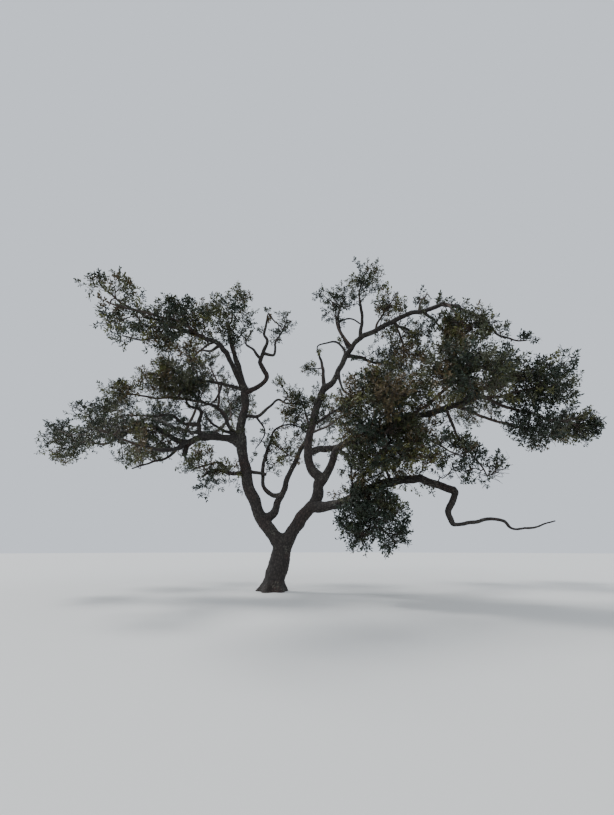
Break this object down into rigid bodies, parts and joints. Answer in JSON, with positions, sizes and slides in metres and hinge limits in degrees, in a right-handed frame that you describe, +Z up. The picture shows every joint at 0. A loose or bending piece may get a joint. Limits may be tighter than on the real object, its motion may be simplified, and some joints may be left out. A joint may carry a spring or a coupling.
{
  "type": "live oak tree",
  "caption": "Spreading live oak: a short flared trunk forks low into crooked stems whose long boughs carry a wide, open crown of small dark leaves, with sky between the masses.",
  "frame": {"origin": "the middle of the flat cut under the trunk, at ground level", "axes": "+Z up the tree; +X to the right in the picture, along the crown's widest spread; +Y away from the viewer"},
  "size_m": [22.4397, 14.9474, 13.3524],
  "materials": {
    "bark": "dark grey-brown bark in small rough blocks, with pale lichen",
    "foliage": "small leathery dark olive leaves, satin above and duller below"
  },
  "bodies": {
    "root": {"trunk": "bark", "right_stem": "bark", "left_stem": "bark", "left_leader": "bark", "west_crest_limb": "bark", "finger_limb": "bark", "gap_limb": "bark", "west_bough": "bark", "west_stub": "bark", "upper_west_bough": "bark", "west_rise": "bark", "low_west_limb": "bark", "front_west_limb": "bark", "middle_stem": "bark", "arch_limb": "bark", "right_leader": "bark", "dead_stub": "bark", "crest_arch": "bark", "crest_limb": "bark", "east_limb": "bark", "back_east_limb": "bark", "low_east_bough": "bark", "east_drop": "bark", "east_trail": "bark", "west_finger_foliage": "foliage", "west_top_foliage": "foliage", "west_crest_foliage": "foliage", "gap_tuft_foliage": "foliage", "west_mid_foliage": "foliage", "west_shoulder_foliage": "foliage", "far_west_foliage": "foliage", "front_west_foliage": "foliage", "back_far_west_foliage": "foliage", "inner_west_foliage": "foliage", "upper_inner_west_foliage": "foliage", "back_west_top_foliage": "foliage", "back_west_foliage": "foliage", "back_mid_foliage": "foliage", "low_west_foliage": "foliage", "crest_foliage": "foliage", "crest_left_foliage": "foliage", "crest_right_foliage": "foliage", "crest_tuft_foliage": "foliage", "east_top_foliage": "foliage", "inner_crest_foliage": "foliage", "mid_east_foliage": "foliage", "front_east_foliage": "foliage", "east_shelf_foliage": "foliage", "far_east_foliage": "foliage", "low_shelf_foliage": "foliage", "under_east_foliage": "foliage", "inner_low_east_foliage": "foliage", "low_east_foliage": "foliage", "hanging_foliage": "foliage", "inner_east_foliage": "foliage", "arch_ball_foliage": "foliage", "back_east_top_foliage": "foliage", "back_far_east_foliage": "foliage", "back_east_foliage": "foliage", "back_inner_foliage": "foliage"}
  },
  "joints": []
}
